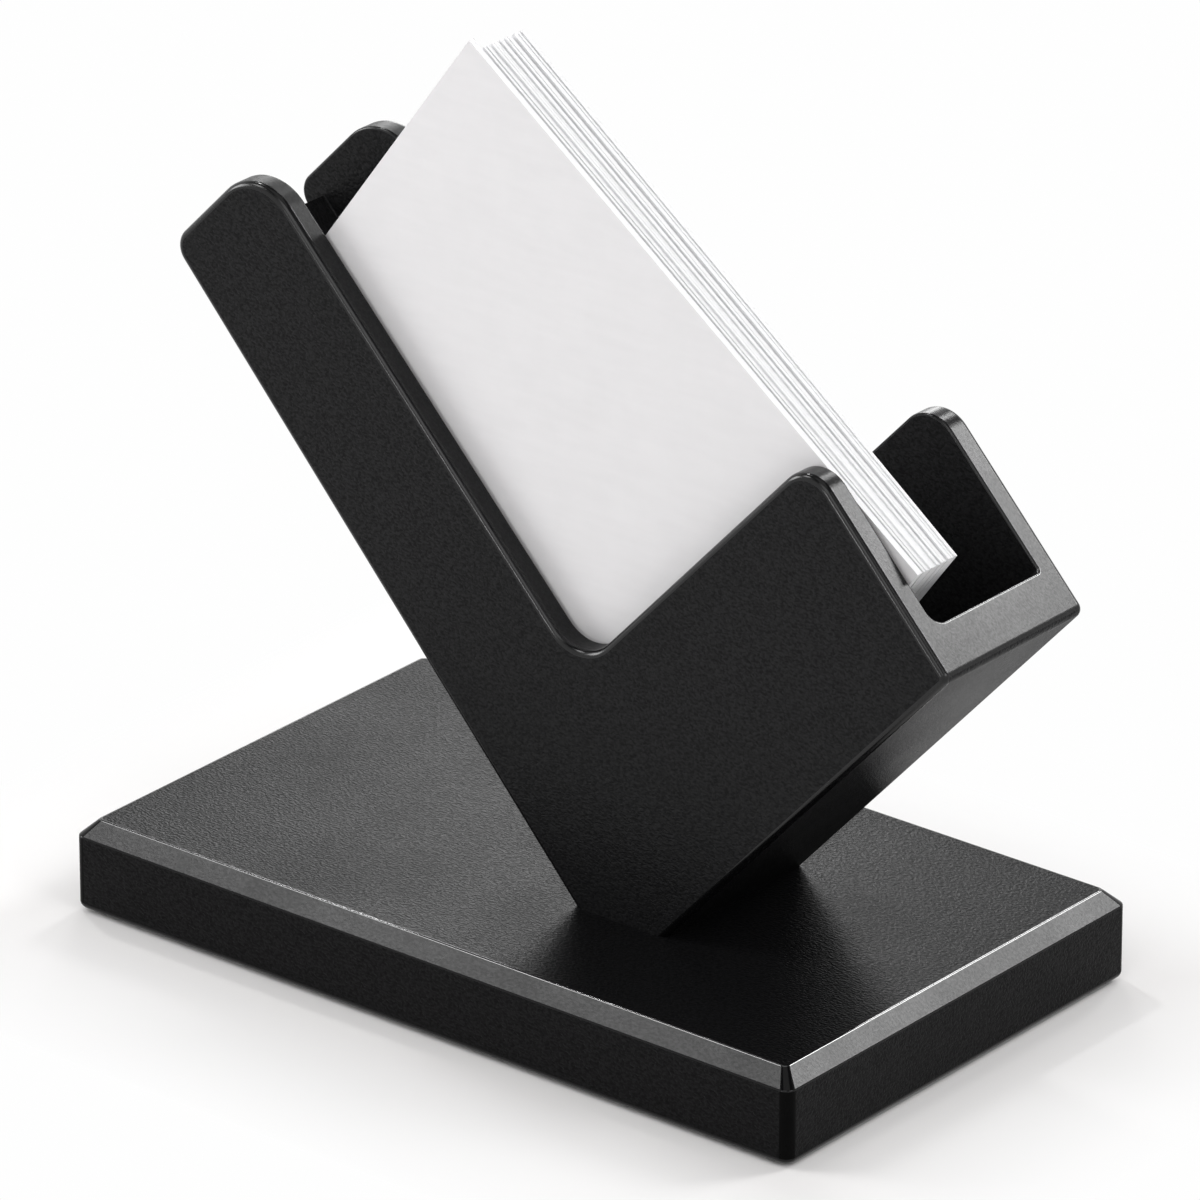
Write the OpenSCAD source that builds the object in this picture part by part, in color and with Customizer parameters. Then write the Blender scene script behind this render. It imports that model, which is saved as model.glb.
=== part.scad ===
// Business card holder stand: a weighted base that carries a slanted pocket with a deck of cards.
// Millimetres. +Z is up, +X runs towards the pocket's open mouth, and the near side is -Y.
// The origin is at desk level, under the middle of the base.

/* [Base] */
// Length of the base, left to right
base_l = 113; // [105:1:130]
// Depth of the base, near side to far side
base_w = 67; // [60:1:80]
// Height of the base shell
base_h = 12; // [11:0.5:16]
// Chamfer round the top of the base
base_chamfer = 2.1; // [1:0.1:2.2]
// Radius of the base's upright corners
base_corner_r = 1.4; // [0.6:0.1:3]
// Side wall of the base shell
base_wall = 2.6; // [2.4:0.1:3.2]
// Top wall of the base shell
base_roof = 2.6; // [2.4:0.1:3]
// Width of the ledge that the steel plate closes against
ledge_w = 1.2; // [0.8:0.1:1.4]
// Thickness of the stiffening ribs under the roof
rib_t = 1.4; // [1:0.1:2]
// Thickness of the steel plate that closes the base
plate_t = 3; // [2:0.5:3.5]
// Thickness of the rubber pad under the plate
pad_t = 1.5; // [1.2:0.1:1.8]
// How far the pad stands proud of the shell's lower edge
pad_proud = 0.5; // [0.3:0.1:0.8]

/* [Card pocket] */
// Distance of the pocket's lower corner from the middle of the base
pocket_x = 14.4; // [8:0.2:18]
// Outside width of the pocket
pocket_w = 27; // [24:0.5:34]
// Lean of the arms, measured from the desk
arm_lean = 48; // [46:0.5:51]
// Rise of the pocket's floor, measured from the desk
floor_rise = 47.5; // [45:0.5:50]
// Height of the lower corner that is cut away where the pocket sits on the base
corner_cut = 7.8; // [7:0.1:8.6]
// Length of the arms' back edge, from the uncut lower corner
arm_len = 106; // [101:1:112]
// Width of the arms where they meet the cheeks
arm_root_w = 22; // [20:0.5:24]
// Width of the arms at the tip
arm_tip_w = 20; // [17:0.5:21]
// Slope of the arms' tip, measured from the desk
tip_rise = 46; // [43:0.5:49]
// Length of the pocket's underside, from the uncut lower corner
cheek_len = 73.5; // [70:0.5:80]
// Depth of the cheeks at the notch
cheek_root_d = 31.5; // [29:0.5:33]
// Depth of the cheeks at the mouth
cheek_mouth_d = 31; // [28:0.5:32]
// Lean of the mouth's edge, measured from the desk
mouth_lean = 47; // [44:0.5:50]
// Thickness of the arms and cheeks
cheek_t = 3.4; // [2.4:0.1:4]
// Thickness of the back wall between the arms
spine_t = 3.4; // [2.6:0.1:4]
// Length of the back wall, from the uncut lower corner
spine_len = 103; // [92:0.5:103]
// Thickness of the floor between the cheeks
floor_t = 6.6; // [5:0.1:7]
// Height of the solid foot that holds the threaded inserts
block_h = 8; // [7.4:0.1:9]
// Radius of the notch between arm and cheek
notch_r = 5.5; // [4:0.5:10]
// Radius of the arms' inner tip corner
tip_in_r = 7; // [4:0.5:8]
// Radius of the arms' outer tip corner
tip_out_r = 2.8; // [1:0.2:4]
// Radius of the cheeks' upper mouth corner
mouth_high_r = 4.5; // [2:0.5:6]
// Radius of the cheeks' lower mouth corner
mouth_low_r = 1.2; // [1:0.2:3]

/* [Cards] */
// Long side of a card in the deck
card_l = 83.5; // [80:0.5:86]
// Long side of the heavier card in front
front_card_l = 85; // [80:0.5:88]
// Short side of a card
card_w = 55; // [50:0.5:58]
// Slope of the cards' long side, measured from the desk
card_slope = 36.5; // [34:0.5:39]
// Thickness of a card in the deck
card_t = 0.36; // [0.25:0.01:0.5]
// Thickness of the heavier card in front
front_card_t = 0.9; // [0.4:0.1:1.2]
// Gap between the front card and the deck
front_gap = 0.45; // [0.3:0.05:1]
// Air between two cards of one group
card_gap = 0.03; // [0.02:0.01:0.06]
// Extra air between two groups of cards
group_gap = 0.12; // [0.05:0.01:0.2]
// Angle over which the deck fans out towards its upper end
deck_fan = 0.8; // [0:0.1:1.5]
// Most that a card stands out from the edge of the deck
card_stagger = 0.3; // [0.1:0.05:0.5]
// Air between a resting card and the pocket
card_clear = 0.2; // [0.1:0.05:0.3]
// Air between the front card and the near cheek
cheek_clear = 0.4; // [0.2:0.05:0.8]

/* [Fasteners] */
// Radius of the pocket screws' thread
pocket_screw_r = 1.5; // [1.25:0.05:1.6]
// Length of the pocket screws below the head
pocket_screw_len = 8; // [6:0.5:8.4]
// Distance between the two pocket screws
pocket_screw_gap = 14; // [12:0.5:16]
// Outer radius of the brass inserts
insert_r = 2.1; // [1.9:0.05:2.3]
// Length of the brass inserts
insert_len = 5; // [4:0.5:6]
// Radius of the pocket's locating pegs
peg_r = 1.2; // [1:0.1:1.4]
// Length of the pocket's locating pegs
peg_len = 1.8; // [1.2:0.1:2]
// Distance between the two locating pegs
peg_gap = 6.8; // [6.4:0.1:7.6]
// Radius of the plate screws' thread
plate_screw_r = 1.25; // [1:0.05:1.4]
// Length of the plate screws over all
plate_screw_len = 6.5; // [5.5:0.5:7]
// Distance of the plate screws from the base's sides
plate_screw_inset = 9; // [8:0.5:11]

/* [Hidden] */
$fn = 64;

// One overrun serves every cut
overrun = 1;
// Steps in each rounded corner of the pocket's outline
arc_steps = 10;
// Clearances: a part dropped into its seat, a screw in its hole, and a thread or insert in its bore
seat_clear = 0.2;
hole_clear = 0.2;
fit_clear = 0.05;

// Heights above the desk
shell_z = pad_proud;
base_top_z = shell_z + base_h;
roof_z = base_top_z - base_roof;
plate_z = pad_t;
ledge_z = plate_z + plate_t;

// Screw heads, their sockets and the bosses that they screw into
pocket_head_r = 2.8;
pocket_head_h = 2;
pocket_socket_r = 1.15;
pocket_socket_h = 1.1;
plate_head_r = 2.5;
plate_socket_r = 0.95;
plate_socket_h = 0.9;
boss_r = 3;
boss_end = 0.6;
rib_pitch = 24;
rib_y = 12;
rib_clear = 0.3;
insert_lip_r = 0.35;
insert_groove_h = 0.8;
insert_end = 0.6;
peg_end = 0.2;
peg_chamfer = 0.3;

// The pocket's outline in the upright plane, as directions and corners
arm_dir = 180 - arm_lean;
mouth_dir = 180 - mouth_lean;
arm_in = arm_dir - 90;
floor_in = floor_rise + 90;
lower_corner = [pocket_x, base_top_z - corner_cut];
seat_back = meet(lower_corner, arm_dir, [0, base_top_z], 0);
seat_front = meet(lower_corner, floor_rise, [0, base_top_z], 0);
seat_x = (seat_back[0] + seat_front[0]) / 2;
mouth_low = along(lower_corner, floor_rise, cheek_len);
tip_out = along(lower_corner, arm_dir, arm_len);
lip_foot = along(lower_corner, floor_in, cheek_mouth_d);
mouth_high = meet(mouth_low, mouth_dir, lip_foot, floor_rise);
arm_edge = along(lower_corner, arm_in, arm_root_w);
lip_edge = along(lower_corner, floor_in, cheek_root_d);
notch = meet(arm_edge, arm_dir, lip_edge, floor_rise);
tip_edge = along(lower_corner, arm_in, arm_tip_w);
tip_in = meet(tip_out, tip_rise, tip_edge, arm_dir);
outline = [seat_back, seat_front, mouth_low, mouth_high, notch, tip_in, tip_out];
outline_r = [0, 0, mouth_low_r, mouth_high_r, notch_r, tip_in_r, tip_out_r];

// The space between the arms and cheeks: its back wall, its floor and the block's top
inner_w = pocket_w - 2 * cheek_t;
spine_foot = along(lower_corner, arm_in, spine_t);
floor_foot = along(lower_corner, floor_in, floor_t);
block_z = base_top_z + block_h;
block_back = meet(spine_foot, arm_dir, [0, block_z], 0);
block_front = meet(floor_foot, floor_rise, [0, block_z], 0);
floor_end = along(block_front, floor_rise, cheek_len + overrun);
spine_in = along(spine_foot, arm_dir, spine_len);
spine_out = along(spine_in, arm_in, -spine_t - overrun);
space_far = along(spine_out, arm_dir, arm_len);
space_outline = [
    block_back, block_front, floor_end, space_far + floor_end - block_front, space_far, spine_out, spine_in
];

// A card rests with its lower edge's two ends on the back wall and on the floor
rest_back = along(lower_corner, arm_in, spine_t + card_clear);
rest_floor = along(lower_corner, floor_in, floor_t + card_clear);
rest_corner = meet(rest_back, arm_dir, rest_floor, floor_rise);
rest_share = sin(floor_rise + card_slope) / sin(arm_dir - floor_rise);

// The deck's cards lie in groups, with a little more air between the groups
deck_groups = [4, 4, 3, 5];
deck_count = deck_groups * [for (group = deck_groups) 1];
front_card_y = cheek_clear + cheek_t - pocket_w / 2;
deck_y = front_card_y + front_card_t + front_gap;
// A turn of 137.5 degrees from card to card spreads their small offsets evenly
stagger_turn = 137.5;

// The point at a distance from p in the direction of an angle
function along(p, angle, d) = p + d * heading(angle);

// Where the line through p at angle a meets the line through q at angle b
function meet(p, a, q, b) = along(p, a, cross(q - p, heading(b)) / sin(b - a));

// The vector of length one in the direction of an angle
function heading(angle) = [cos(angle), sin(angle)];

// A vector of length one along v
function unit(v) = v / norm(v);

// How many groups end before card i, counted from nought
function groups_before(i, k = 0, total = 0) =
    i < total + deck_groups[k] ? k : groups_before(i, k + 1, total + deck_groups[k]);

// The small share by which card i stands out of the deck, from nought to one
function stagger_share(i) = (1 + sin(i * stagger_turn)) / 2;

// The point in a list after or before point i, which runs round the outline
function step_point(points, i, step) = points[(i + step + len(points)) % len(points)];

// Positive where an outline turns left at point i, so that the corner points outward
function turn_at(points, i) =
    cross(points[i] - step_point(points, i, -1), step_point(points, i, 1) - points[i]);

// Half the angle between an outline's two sides at point i
function half_angle(points, i) =
    acos(unit(step_point(points, i, -1) - points[i]) * unit(step_point(points, i, 1) - points[i])) / 2;

// Where a circle of radius r touches both sides at point i
function round_centre(points, i, r) =
    points[i] + unit(unit(step_point(points, i, -1) - points[i]) + unit(step_point(points, i, 1) - points[i]))
        * r / sin(half_angle(points, i));

// The arc that rounds point i, from its side before to its side after
function corner_arc(points, i, r, centre) =
    let(
        reach = r / tan(half_angle(points, i)),
        start = points[i] + reach * unit(step_point(points, i, -1) - points[i]) - centre,
        sweep = (180 - 2 * half_angle(points, i)) * sign(turn_at(points, i))
    )
    [for (k = [0:arc_steps]) centre + r * heading(atan2(start[1], start[0]) + sweep * k / arc_steps)];

// An outline whose corners and notches are rounded, each by its own radius
function rounded_outline(points, radii) = [
    for (i = [0:len(points) - 1])
        each radii[i] > 0 ? corner_arc(points, i, radii[i], round_centre(points, i, radii[i])) : [points[i]]
];

// Stands a flat outline upright and gives it a width across the object
module upright(width) {
    rotate([90, 0, 0]) linear_extrude(width, center = true) children();
}

// A rectangle with rounded corners
module round_rect(l, w, r) {
    square([l - 2 * r, w], center = true);
    square([l, w - 2 * r], center = true);
    for (x = [-1, 1], y = [-1, 1]) translate([x * (l / 2 - r), y * (w / 2 - r)]) circle(r);
}

// Copies its children to the four plate screws' places
module at_plate_screws() {
    for (x = [-1, 1], y = [-1, 1])
        translate([x * (base_l / 2 - plate_screw_inset), y * (base_w / 2 - plate_screw_inset), 0]) children();
}

// Copies its children to the two pocket screws' places
module at_pocket_screws() {
    for (y = [-1, 1]) translate([seat_x, y * pocket_screw_gap / 2, 0]) children();
}

// Copies its children to the two locating pegs' places
module at_pegs() {
    for (x = [-1, 1]) translate([seat_x + x * peg_gap / 2, 0, 0]) children();
}

// The block with a chamfer round its top that the base shell is cut from
module base_block() {
    translate([0, 0, shell_z]) intersection() {
        linear_extrude(base_h) round_rect(base_l, base_w, base_corner_r);
        upright(base_w) chamfered_side(base_l);
        rotate([0, 0, 90]) upright(base_l) chamfered_side(base_w);
    }
}

// The base seen from one side, with its two top edges chamfered
module chamfered_side(l) {
    side_h = base_h - base_chamfer;
    top_l = l - 2 * base_chamfer;
    polygon([[-l / 2, 0], [l / 2, 0], [l / 2, side_h], [top_l / 2, base_h], [-top_l / 2, base_h], [-l / 2, side_h]]);
}

// Moulded shell of the base, open below, with bosses, ribs and the holes for the pocket
module base_shell() {
    inner_l = base_l - 2 * base_wall;
    inner_d = base_w - 2 * base_wall;
    rebate_h = ledge_z - shell_z;
    rib_z = ledge_z + rib_clear;
    rib_h = roof_z - rib_z + overrun;
    color("#202022") difference() {
        union() {
            difference() {
                base_block();
                translate([0, 0, shell_z - overrun]) linear_extrude(roof_z - shell_z + overrun)
                    square([inner_l, inner_d], center = true);
                translate([0, 0, shell_z - overrun]) linear_extrude(rebate_h + overrun)
                    square([inner_l + 2 * ledge_w, inner_d + 2 * ledge_w], center = true);
            }
            at_plate_screws() translate([0, 0, ledge_z]) cylinder(h = roof_z - ledge_z + overrun, r = boss_r);
            for (y = [-1, 1]) translate([-inner_l / 2 - overrun, y * rib_y - rib_t / 2, rib_z])
                cube([inner_l + 2 * overrun, rib_t, rib_h]);
            for (k = [-2, -1, 1]) translate([seat_x + k * rib_pitch - rib_t / 2, -inner_d / 2 - overrun, rib_z])
                cube([rib_t, inner_d + 2 * overrun, rib_h]);
        }
        at_plate_screws() translate([0, 0, ledge_z - overrun])
            cylinder(h = plate_z + plate_screw_len + boss_end - ledge_z + overrun, r = plate_screw_r + fit_clear);
        at_pocket_screws() translate([0, 0, roof_z - overrun])
            cylinder(h = base_roof + 2 * overrun, r = pocket_screw_r + hole_clear);
        at_pegs() translate([0, 0, base_top_z - peg_len - peg_end])
            cylinder(h = peg_len + peg_end + overrun, r = peg_r + fit_clear);
    }
}

// Steel plate that weights the base and closes it from below
module weight_plate() {
    plate_l = base_l - 2 * (base_wall - ledge_w + seat_clear);
    plate_w = base_w - 2 * (base_wall - ledge_w + seat_clear);
    sink = plate_head_r - plate_screw_r;
    color("#8d9196") translate([0, 0, plate_z]) difference() {
        translate([-plate_l / 2, -plate_w / 2, 0]) cube([plate_l, plate_w, plate_t]);
        at_plate_screws() {
            translate([0, 0, -overrun]) cylinder(h = plate_t + 2 * overrun, r = plate_screw_r + hole_clear);
            cylinder(h = sink, r1 = plate_head_r + hole_clear, r2 = plate_screw_r + hole_clear);
        }
    }
}

// Rubber pad that covers the steel plate and stands on the desk
module anti_slip_pad() {
    pad_l = base_l - 2 * (base_wall - ledge_w + seat_clear);
    pad_w = base_w - 2 * (base_wall - ledge_w + seat_clear);
    color("#161617") linear_extrude(pad_t) square([pad_l, pad_w], center = true);
}

// Four countersunk screws that hold the steel plate to the shell's bosses
module plate_screws() {
    sink = plate_head_r - plate_screw_r;
    color("#6d7074") at_plate_screws() translate([0, 0, plate_z]) difference() {
        union() {
            cylinder(h = plate_screw_len, r = plate_screw_r);
            cylinder(h = sink, r1 = plate_head_r, r2 = plate_screw_r);
        }
        translate([0, 0, -overrun]) cylinder(h = plate_socket_h + overrun, r = plate_socket_r, $fn = 6);
    }
}

// Moulded pocket: two cheeks with long arms, joined by a back wall, a floor and a solid foot
module card_pocket() {
    color("#242426") difference() {
        union() {
            difference() {
                upright(pocket_w) polygon(rounded_outline(outline, outline_r));
                upright(inner_w) polygon(space_outline);
            }
            at_pegs() translate([0, 0, base_top_z - peg_len]) {
                cylinder(h = peg_chamfer, r1 = peg_r - peg_chamfer, r2 = peg_r);
                translate([0, 0, peg_chamfer]) cylinder(h = peg_len - peg_chamfer + overrun, r = peg_r);
            }
        }
        at_pocket_screws() translate([0, 0, base_top_z - overrun])
            cylinder(h = insert_len + insert_end + overrun, r = insert_r + fit_clear);
    }
}

// Two screws that hold the pocket from inside the base
module pocket_screws() {
    color("#6d7074") at_pocket_screws() translate([0, 0, roof_z]) difference() {
        union() {
            cylinder(h = pocket_screw_len, r = pocket_screw_r);
            translate([0, 0, -pocket_head_h]) cylinder(h = pocket_head_h, r = pocket_head_r);
        }
        translate([0, 0, -pocket_head_h - overrun])
            cylinder(h = pocket_socket_h + overrun, r = pocket_socket_r, $fn = 6);
    }
}

// Two brass inserts, set in the pocket's foot, that the pocket screws turn into
module pocket_inserts() {
    groove_z = (insert_len - insert_groove_h) / 2;
    color("#b08d45") at_pocket_screws() translate([0, 0, base_top_z]) difference() {
        cylinder(h = insert_len, r = insert_r);
        translate([0, 0, -overrun]) cylinder(h = insert_len + 2 * overrun, r = pocket_screw_r + fit_clear);
        translate([0, 0, groove_z]) difference() {
            cylinder(h = insert_groove_h, r = insert_r + overrun);
            translate([0, 0, -overrun]) cylinder(h = insert_groove_h + 2 * overrun, r = insert_r - insert_lip_r);
        }
    }
}

// One card: its lower edge runs down from the back wall to the floor, and it may be turned about its lower end
module card(y, length, thickness, lift, turn) {
    corner = along(rest_corner, arm_dir, length * rest_share);
    translate([corner[0], y, corner[1]]) rotate([0, card_slope, 0]) translate([length, 0, lift])
        rotate([0, 0, -turn]) translate([-length, 0, 0]) cube([length, thickness, card_w]);
}

// The heavier card that stands in front of the deck
module front_card() {
    color("#efedee") card(front_card_y, front_card_l, front_card_t, 0, 0);
}

// Card i of the deck, counted from nought
module deck_card(i) {
    y = deck_y + i * (card_t + card_gap) + groups_before(i) * group_gap;
    turn = deck_fan * (i + 1) / deck_count;
    color("#f6f5f5") card(y, card_l, card_t, card_stagger * stagger_share(i), turn);
}

base_shell();
weight_plate();
anti_slip_pad();
plate_screws();
card_pocket();
pocket_screws();
pocket_inserts();
front_card();
deck_card(0);  // deck_card_01
deck_card(1);  // deck_card_02
deck_card(2);  // deck_card_03
deck_card(3);  // deck_card_04
deck_card(4);  // deck_card_05
deck_card(5);  // deck_card_06
deck_card(6);  // deck_card_07
deck_card(7);  // deck_card_08
deck_card(8);  // deck_card_09
deck_card(9);  // deck_card_10
deck_card(10);  // deck_card_11
deck_card(11);  // deck_card_12
deck_card(12);  // deck_card_13
deck_card(13);  // deck_card_14
deck_card(14);  // deck_card_15
deck_card(15);  // deck_card_16
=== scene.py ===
# A business card holder stand: a weighted base, a slanted two-cheek pocket and a deck of blank cards.
# All sizes are in metres and all angles in degrees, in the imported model's frame.
import math
import random

import bmesh
import bpy
from mathutils import Matrix, Vector


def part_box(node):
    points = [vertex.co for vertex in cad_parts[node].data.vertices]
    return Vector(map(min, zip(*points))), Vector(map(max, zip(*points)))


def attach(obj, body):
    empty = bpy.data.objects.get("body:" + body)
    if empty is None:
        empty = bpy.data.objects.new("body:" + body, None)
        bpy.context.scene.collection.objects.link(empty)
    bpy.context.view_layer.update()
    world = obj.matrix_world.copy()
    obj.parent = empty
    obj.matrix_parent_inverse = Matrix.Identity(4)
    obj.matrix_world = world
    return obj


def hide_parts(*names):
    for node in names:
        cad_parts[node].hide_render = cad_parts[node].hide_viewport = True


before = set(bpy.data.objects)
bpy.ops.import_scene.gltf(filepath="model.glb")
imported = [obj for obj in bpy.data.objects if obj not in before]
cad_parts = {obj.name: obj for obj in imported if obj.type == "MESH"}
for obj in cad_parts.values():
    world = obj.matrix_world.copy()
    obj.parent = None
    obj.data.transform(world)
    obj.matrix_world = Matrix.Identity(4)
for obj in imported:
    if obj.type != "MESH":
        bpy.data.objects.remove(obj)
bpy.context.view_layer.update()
MM = 0.001
QUARTER_TURN = 90
HALF_TURN = 180

# Camera, fitted to the photograph
CAMERA_AZIMUTH = 39.206
CAMERA_ELEVATION = 24.084
CAMERA_DISTANCE = 1.30965
CAMERA_LENS = 322.9
SENSOR_WIDTH = 36
CAMERA_TARGET = Vector((0.002054, -0.002, 0.047977))

# Floor: its colour as it is seen beside the base, greyed there as a painted shade round the base; its plain
# white glow past that shade, which also wipes out the real shadow there; its colour as it throws light back;
# and how far from the base the painted shade starts and ends to fade out
FLOOR_SIZE = 6
FLOOR_SEEN_PAINTED_SHADE = (0.87, 0.857, 0.852)
FLOOR_OPEN = (0.992, 0.992, 0.992)
FLOOR_BOUNCE = (0.8, 0.79, 0.785)
SHADOW_START = 4 * MM
SHADOW_END = 32 * MM

# Lamps: the direction and distance that each shines from, its width, and its power in watts
LAMPS = {
    "rim_lamp": {"direction": (0.44, 0.71, 0.56), "distance": 1.1, "size": 0.3, "power": 4.3},
    "near_lamp": {"direction": (-0.57, -0.42, 0.71), "distance": 1.1, "size": 0.3, "power": 2.25},
    "edge_lamp": {"direction": (-0.58, 0.21, 0.79), "distance": 1.1, "size": 0.08, "power": 1.6},
    "back_lamp": {"direction": (-0.12, 0.72, 0.68), "distance": 1.1, "size": 0.18, "power": 1.8},
    "left_lamp": {"direction": (-0.57, 0.71, 0.42), "distance": 1.1, "size": 0.4, "power": 0.3},
    "low_left_lamp": {"direction": (-0.607, 0.719, 0.34), "distance": 0.45, "size": 0.12, "power": 0.3},
    "front_lamp": {"direction": (-0.05, -0.99, 0.1), "distance": 1.1, "size": 0.12, "power": 1},
    "side_lamp": {"direction": (-0.86, -0.42, 0.25), "distance": 1.1, "size": 0.4, "power": 4.4},
    "high_front_lamp": {"direction": (0.3, -0.7, 0.65), "distance": 1.1, "size": 0.6, "power": 2.2},
    "top_lamp": {"direction": (0.1, -0.1, 1), "distance": 1.1, "size": 0.8, "power": 1.4},
    "right_lamp": {"direction": (0.85, -0.1, 0.52), "distance": 1.1, "size": 0.5, "power": 2.8},
}
# The surround: how strongly it lights the object, and how bright it is seen by the sine of the
# elevation, white low down and dimmer overhead
WORLD_FILL = 0.22
SURROUND = ((0, 1), (0.45, 1), (0.7, 0.3), (0.85, 0.05))

# Base shell: its outer sizes come from the frame, and these are its edges
BASE_LOW, BASE_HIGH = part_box("base_shell")
BASE_CORNER_R = 1.4 * MM
BASE_TOP_CORNER_R = 0.8 * MM
BASE_CHAMFER = 2.1 * MM
TOP_EDGE_R = 0.4 * MM
SIDE_EDGE_R = 0.35 * MM
FOOT_EDGE_R = 0.85 * MM
BASE_CORNER_STEPS = 12
BASE_EDGE_STEPS = 5
# Base shell: its hollow, ribs, bosses and holes
BASE_WALL = 2.6 * MM
BASE_ROOF = 2.6 * MM
LEDGE_W = 1.2 * MM
PLATE_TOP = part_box("weight_plate")[1].z
RIB_T = 1.4 * MM
RIB_Y = 12 * MM
RIB_PITCH = 24 * MM
RIB_PLACES = (-2, -1, 1)
RIB_CLEAR = 0.3 * MM
BOSS_R = 3 * MM
BOSS_BORE_R = 1.3 * MM
BOSS_BORE_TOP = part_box("plate_screws")[1].z + 0.6 * MM
PLATE_SCREW_INSET = 9 * MM
SCREW_HOLE_R = 1.7 * MM
PEG_HOLE_R = 1.25 * MM
PEG_HOLE_DEPTH = 2 * MM
OVERRUN = 1 * MM

# Card pocket: its outline in the upright plane
POCKET_X = 14.4 * MM
POCKET_W = 27 * MM
ARM_LEAN = 48
FLOOR_RISE = 47.5
CORNER_CUT = 7.8 * MM
ARM_LEN = 106 * MM
ARM_ROOT_W = 22 * MM
ARM_TIP_W = 20 * MM
TIP_RISE = 46
CHEEK_LEN = 73.5 * MM
CHEEK_ROOT_D = 31.5 * MM
CHEEK_MOUTH_D = 31 * MM
MOUTH_LEAN = 47
CHEEK_T = 3.4 * MM
SPINE_T = 3.4 * MM
SPINE_LEN = 103 * MM
FLOOR_T = 6.6 * MM
BLOCK_H = 8 * MM
NOTCH_R = 5.5 * MM
TIP_IN_R = 7 * MM
TIP_OUT_R = 2.8 * MM
MOUTH_HIGH_R = 4.5 * MM
MOUTH_LOW_R = 1.2 * MM
ARC_STEPS = 16
# The steps of the bend below the mouth that have the faces' grain, and the profile of a round edge
LOW_BEND_STEPS = 10
ROUND_PROFILE = 0.5
# Card pocket: its moulded edges and inner corners
OUTER_EDGE_R = 0.85 * MM
OUTER_EDGE_STEPS = 6
RIM_EDGE_R = 0.35 * MM
RIM_EDGE_STEPS = 4
INNER_CORNER_R = 0.3 * MM
NEAR_MOUTH_CORNER_R = 2 * MM
FAR_MOUTH_CORNER_R = 0.4 * MM
INNER_CORNER_STEPS = 8
# Card pocket: the pegs and insert bores in its foot
POCKET_SCREW_GAP = 14 * MM
PEG_R = 1.2 * MM
PEG_LEN = 1.8 * MM
PEG_GAP = 6.8 * MM
INSERT_BORE_R = 2.15 * MM
INSERT_END = 0.6 * MM
HOLE_STEPS = 32

# Cards
CARD_L = 83.5 * MM
FRONT_CARD_L = 85 * MM
CARD_W = 55 * MM
CARD_SLOPE = 36.5
CARD_T = 0.36 * MM
FRONT_CARD_T = 0.9 * MM
CARD_EDGE_R = 0.025 * MM
CARD_EDGE_ABOVE = 60
SMALL_EDGE_STEPS = 2
CARD_STEPS_L = 32
CARD_STEPS_W = 12
DECK_GROUPS = (4, 4, 3, 5)
DECK_COUNT = sum(DECK_GROUPS)
DECK_FAN = 0.8
GROUP_BOW = 0.03 * MM
CARD_BOW = 0.004 * MM
BOW_SEED = 11

# Shading: edges that turn by less than the first are smooth, and large faces outweigh small ones by
# the second
SMOOTH_BELOW = 32
FACE_WEIGHT = 100

# The kinds of the pocket's edges: those all round its cheeks, and those of its rims and mouth
OUTER_EDGE = 1
INNER_EDGE = 2
# The places of the finishes in the base's and the pocket's lists
FACES = 0
EDGES = 1
RIMS = 2
BASE_CORNERS = 3
BASE_TOP_EDGE = 4
POCKET_STRIPS = 3
POCKET_LIP = 4
POCKET_UNDERSIDE = 5
BASE_FINISHES = ["base_grained", "base_edges", "satin_black_rims", "base_corners", "polished_edges"]
POCKET_FINISHES = [
    "pocket_grained",
    "pocket_edges",
    "satin_black_rims",
    "pocket_rims",
    "pocket_lip",
    "pocket_underside",
]

# Colours: the blacks of the plastic, with the pocket's set lighter than the base's as painted light and the
# edges' and corners' set darker as painted shade, and then the rest
BASE_TONE = (0.005, 0.005, 0.0053)
POCKET_TONE_PAINTED_LIGHT = (0.008, 0.008, 0.0084)
SATIN_TONE = (0.004, 0.004, 0.0043)
# Darker than the faces' blacks, as painted shade on the rounded edges and the upright corners
EDGE_TONE_PAINTED_SHADE = (0.002, 0.002, 0.0022)
CORNER_TONE_PAINTED_SHADE = (0.001, 0.001, 0.001)
RUBBER_BLACK = (0.015, 0.015, 0.015)
RUBBER_GREY = (0.03, 0.03, 0.03)
CARD_EDGE_WHITE = (0.92, 0.92, 0.93)
FRONT_CARD_WHITE = (0.8, 0.79, 0.8)
DECK_WHITE = (0.88, 0.88, 0.89)
SCREW_STEEL = (0.36, 0.37, 0.39)
PLATE_STEEL = (0.48, 0.49, 0.51)
INSERT_BRASS = (0.62, 0.46, 0.2)

# Noise: most of its values lie between these
NOISE_LOW = 0.3
NOISE_HIGH = 0.7
# Grained plastic: scales are in features per metre, and depths are in metres
GRAIN_SCALE = 3200
GRAIN_LOW = 0.32
GRAIN_HIGH = 0.68
GRAIN_STRETCH = (0.6, 1, 1)
GRAIN_BEND = 0.5
GRAIN_DEPTH = 0.03 * MM
SATIN_DEPTH = 0.004 * MM
PATCH_SCALE = 60
PATCH_CHANGE = 0.03
GRAINED = {
    "base_grained": dict(tone=BASE_TONE, gloss=0.06, roughness=0.34, depth=GRAIN_DEPTH, contrast=0.32),
    # The pocket's finishes take its lighter black, which is painted light
    "pocket_grained": dict(tone=POCKET_TONE_PAINTED_LIGHT, gloss=0.1, roughness=0.34, depth=GRAIN_DEPTH, contrast=0.32),
    "pocket_underside": dict(tone=POCKET_TONE_PAINTED_LIGHT, gloss=0.03, roughness=0.34, depth=GRAIN_DEPTH, contrast=0.32),
    "satin_black_rims": dict(tone=SATIN_TONE, gloss=0.28, roughness=0.28, depth=SATIN_DEPTH, contrast=0.16),
    "pocket_rims": dict(tone=SATIN_TONE, gloss=0.25, roughness=0.42, depth=SATIN_DEPTH, contrast=0.16),
}
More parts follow.
